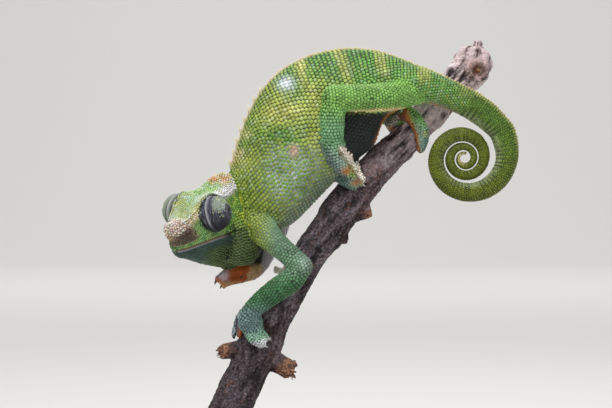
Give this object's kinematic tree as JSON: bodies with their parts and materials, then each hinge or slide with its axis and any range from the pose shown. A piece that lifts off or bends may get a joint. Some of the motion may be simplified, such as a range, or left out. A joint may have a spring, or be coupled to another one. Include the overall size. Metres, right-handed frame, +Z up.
{
  "type": "chameleon model on a perch",
  "caption": "Life-size still chameleon climbing head down along a cut branch, tail coiled, with the branch held over a flat base by a short rod.",
  "frame": {"origin": "centre of the underside of the stand's base", "axes": "+Z up, -X the way the animal climbs, -Y its left side, which faces the picture's camera"},
  "size_m": [0.1248, 0.084, 0.1563],
  "materials": {
    "skin": "granular green reptile skin, semi-matt",
    "eye": "grey skin in fine folds round a small dark glossy pupil",
    "bark": "rough bark with torn stubs",
    "rod": "brushed",
    "base": "dark satin"
  },
  "bodies": {
    "root": {"torso": "skin", "neck": "skin", "head": "skin", "eye_left": "eye", "eye_right": "eye", "tail_base": "skin", "tail_bend": "skin", "tail_coil_outer": "skin", "tail_coil_inner": "skin", "foreleg_left_upper": "skin", "foreleg_left_lower": "skin", "forefoot_left": "skin", "foreleg_right_upper": "skin", "foreleg_right_lower": "skin", "forefoot_right": "skin", "hindleg_left_upper": "skin", "hindleg_left_lower": "skin", "hindfoot_left": "skin", "hindleg_right_upper": "skin", "hindleg_right_lower": "skin", "hindfoot_right": "skin", "perch_branch": "bark", "stand_rod": "rod", "stand_base": "base"}
  },
  "joints": []
}
